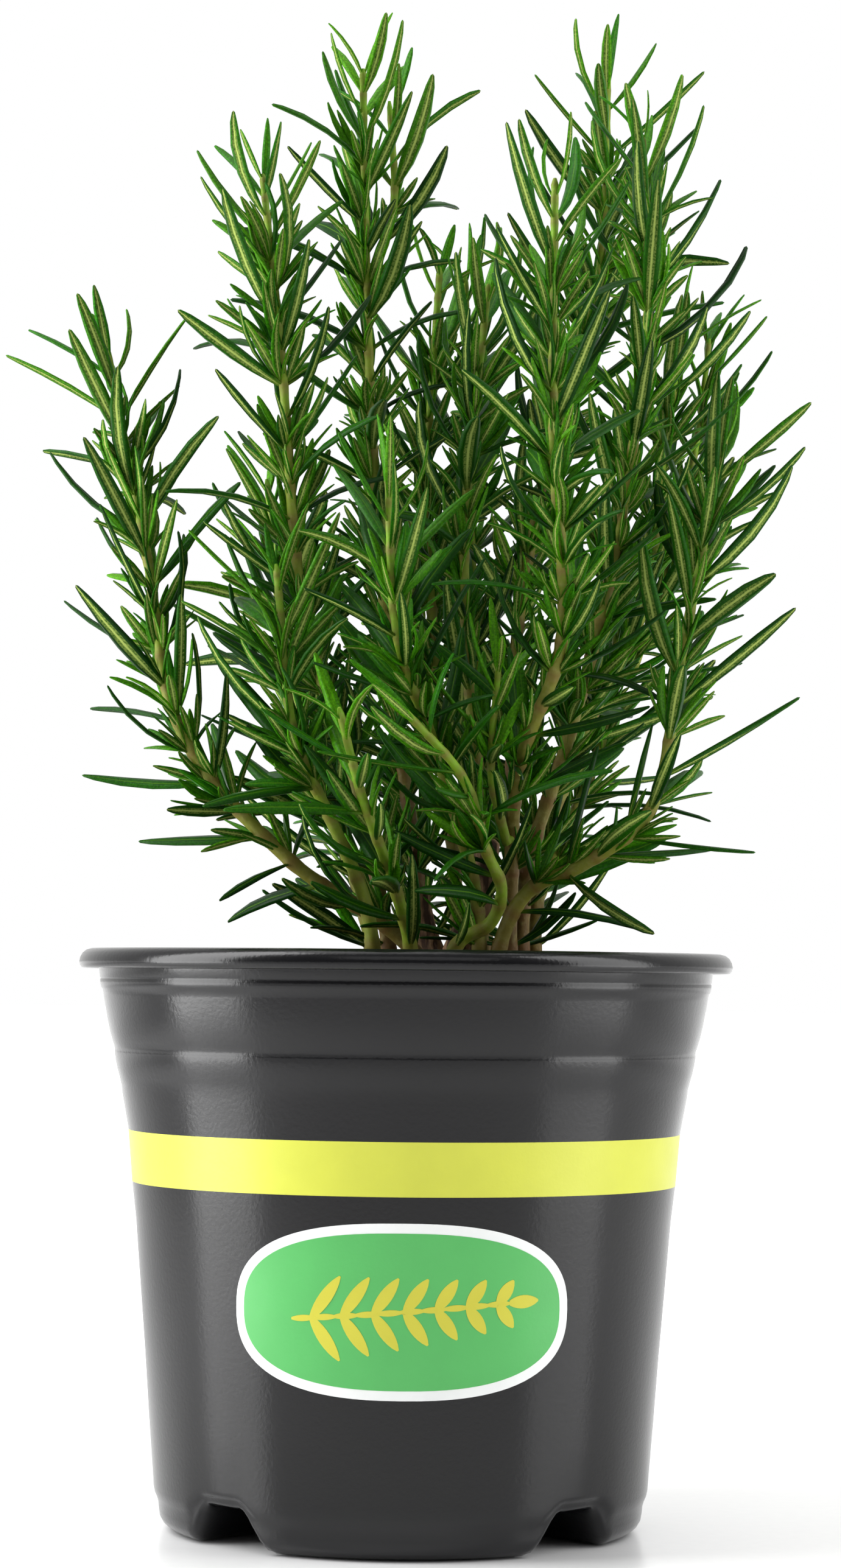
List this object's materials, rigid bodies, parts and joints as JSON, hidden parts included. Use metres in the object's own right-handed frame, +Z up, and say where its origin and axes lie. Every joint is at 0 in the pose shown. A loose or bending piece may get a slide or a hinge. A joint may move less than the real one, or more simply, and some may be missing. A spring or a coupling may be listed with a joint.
{
  "type": "potted rosemary plant",
  "caption": "Upright bushy rosemary plant with narrow needle leaves, growing in a round tapered plastic nursery pot filled with potting mix.",
  "frame": {"origin": "centre of the pot's flat base, on the surface that the pot stands on", "axes": "+Z up along the pot's axis; -Y towards the face that bears the printed emblem"},
  "size_m": [0.1487, 0.1306, 0.2872],
  "materials": {
    "pot_plastic": "satin",
    "potting_mix": "matte",
    "bark": "matte",
    "foliage": "satin"
  },
  "bodies": {
    "root": {"pot": "pot_plastic", "potting_mix": "potting_mix", "woody_crown": "bark", "shoot_centre_tall": "foliage", "shoot_centre_low": "foliage", "shoot_left_tall": "foliage", "shoot_left_outer": "foliage", "shoot_right_tall": "foliage", "shoot_right_outer": "foliage", "shoot_front_curl": "foliage", "shoot_front_short": "foliage", "shoot_left_low": "foliage", "shoot_inner_right": "foliage", "shoot_top_left": "foliage", "shoot_top_left_twin": "foliage", "shoot_top_right": "foliage", "shoot_right_back": "foliage", "shoot_right_side": "foliage", "shoot_middle": "foliage", "shoot_back_centre": "foliage", "shoot_back_high": "foliage", "shoot_back_left": "foliage", "shoot_back_left_low": "foliage", "shoot_back_right_low": "foliage", "shoot_back_low": "foliage"}
  },
  "joints": []
}
